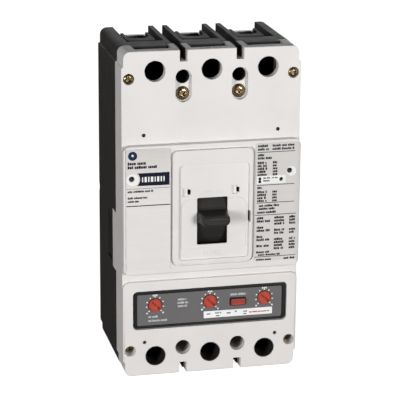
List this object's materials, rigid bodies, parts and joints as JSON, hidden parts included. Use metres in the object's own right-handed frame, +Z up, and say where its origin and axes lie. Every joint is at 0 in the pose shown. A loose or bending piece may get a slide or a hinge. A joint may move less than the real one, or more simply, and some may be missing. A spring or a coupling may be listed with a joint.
{
  "type": "molded case circuit breaker",
  "caption": "Molded case breaker: black base, light grey cover, toggle handle, trip unit with red slotted knobs, and screw lugs behind round access holes.",
  "frame": {"origin": "centre of the flat rear mounting face", "axes": "+X to the breaker's right, +Z up towards the line terminals, -Y out of the front; the rear face's outward normal is +Y"},
  "size_m": [0.1396, 0.1175, 0.2572],
  "materials": {
    "case_black": "black moulded polyester, fine matt texture",
    "case_grey": "light warm grey moulded polyester, satin",
    "label_film": "printed silver-grey film",
    "yellow_zinc": "yellow passivated zinc plate",
    "handle_black": "black moulded plastic, satin",
    "steel": "zinc-plated steel",
    "copper": "plain copper",
    "braid": "copper braid",
    "bimetal": "bimetal strip",
    "aluminium": "tin-plated extruded aluminium",
    "red_plastic": "red moulded plastic",
    "faceplate_grey": "dark grey printed plate",
    "strip_white": "white printed strip",
    "fibre": "brown phenolic"
  },
  "bodies": {
    "case": {"base": "case_black", "cover": "case_grey", "label_left": "label_film", "label_right": "label_film", "cover_screw_1": "yellow_zinc", "cover_screw_2": "yellow_zinc", "cover_screw_3": "yellow_zinc", "cover_screw_4": "yellow_zinc", "cover_screw_5": "yellow_zinc", "cover_screw_6": "yellow_zinc", "mechanism_frame_left": "steel", "mechanism_frame_right": "steel", "line_conductor_1": "copper", "load_conductor_1": "copper", "bimetal_1": "bimetal", "flexible_shunt_1": "braid", "arc_chute_1": "steel", "line_lug_1": "aluminium", "load_lug_1": "aluminium", "line_lug_screw_1": "steel", "load_lug_screw_1": "steel", "line_conductor_2": "copper", "load_conductor_2": "copper", "bimetal_2": "bimetal", "flexible_shunt_2": "braid", "arc_chute_2": "steel", "line_lug_2": "aluminium", "load_lug_2": "aluminium", "line_lug_screw_2": "steel", "load_lug_screw_2": "steel", "line_conductor_3": "copper", "load_conductor_3": "copper", "bimetal_3": "bimetal", "flexible_shunt_3": "braid", "arc_chute_3": "steel", "line_lug_3": "aluminium", "load_lug_3": "aluminium", "line_lug_screw_3": "steel", "load_lug_screw_3": "steel", "trip_unit_housing": "case_black", "trip_unit_faceplate": "faceplate_grey", "rating_strip": "strip_white"},
    "handle": {"handle": "handle_black", "handle_arc_shield": "handle_black", "handle_yoke": "steel", "spring_left": "steel", "spring_right": "steel"},
    "crossbar": {"crossbar": "case_black", "contact_arm_1": "copper", "contact_arm_2": "copper", "contact_arm_3": "copper"},
    "cradle": {"cradle": "steel"},
    "upper_link": {"upper_link": "steel", "toggle_pin": "steel"},
    "lower_link": {"lower_link": "steel"},
    "trip_bar": {"trip_bar": "fibre"},
    "push_to_trip": {"push_to_trip_button": "red_plastic"},
    "knob_1": {"adjust_knob_1": "red_plastic"},
    "knob_2": {"adjust_knob_2": "red_plastic"},
    "knob_3": {"adjust_knob_3": "red_plastic"}
  },
  "joints": [
    {"name": "handle_pivot", "type": "hinge", "parent": "case", "child": "handle", "pos_m": [0, -0.062, -0.001], "axis": [-1, 0, 0], "range_deg": [-22, 14], "deforming": ["spring_left", "spring_right"]},
    {"name": "crossbar_pivot", "type": "hinge", "parent": "case", "child": "crossbar", "pos_m": [0, -0.03, 0], "axis": [-1, 0, 0], "range_deg": [-22.1, 14.1], "deforming": ["flexible_shunt_1", "flexible_shunt_2", "flexible_shunt_3"]},
    {"name": "upper_link_pivot", "type": "hinge", "parent": "case", "child": "upper_link", "pos_m": [0, -0.068, 0.014], "axis": [-1, 0, 0], "range_deg": [-13, 20]},
    {"name": "lower_link_pivot", "type": "hinge", "parent": "crossbar", "child": "lower_link", "pos_m": [0, -0.03848, 0.01334], "axis": [-1, 0, 0], "range_deg": [-8, 12.5]},
    {"name": "cradle_pivot", "type": "hinge", "parent": "case", "child": "cradle", "pos_m": [0, -0.066, 0.029], "axis": [1, 0, 0], "range_deg": [0, 7.5]},
    {"name": "trip_bar_pivot", "type": "hinge", "parent": "case", "child": "trip_bar", "pos_m": [0, -0.063, -0.082], "axis": [-1, 0, 0], "range_deg": [0, 13.5], "stiffness_Nm_per_rad": 0.15, "springref_deg": -5.73},
    {"name": "push_to_trip_slide", "type": "slide", "parent": "case", "child": "push_to_trip", "axis": [0, 1, 0], "range_m": [0, 0.002]},
    {"name": "knob_1_turn", "type": "hinge", "parent": "case", "child": "knob_1", "pos_m": [-0.0437, -0.0963, -0.0717], "axis": [0, -1, 0], "range_deg": [-135, 135]},
    {"name": "knob_2_turn", "type": "hinge", "parent": "case", "child": "knob_2", "pos_m": [0, -0.0963, -0.0717], "axis": [0, -1, 0], "range_deg": [-135, 135]},
    {"name": "knob_3_turn", "type": "hinge", "parent": "case", "child": "knob_3", "pos_m": [0.0437, -0.0963, -0.0717], "axis": [0, -1, 0], "range_deg": [-135, 135]}
  ],
  "couplings": [
    {"joint": "crossbar_pivot", "follows": "handle_pivot", "ratio": 1},
    {"joint": "upper_link_pivot", "follows": "handle_pivot", "ratio": -0.9},
    {"joint": "lower_link_pivot", "follows": "handle_pivot", "ratio": -0.55},
    {"joint": "push_to_trip_slide", "follows": "trip_bar_pivot", "m_per_rad": 0.00848}
  ]
}
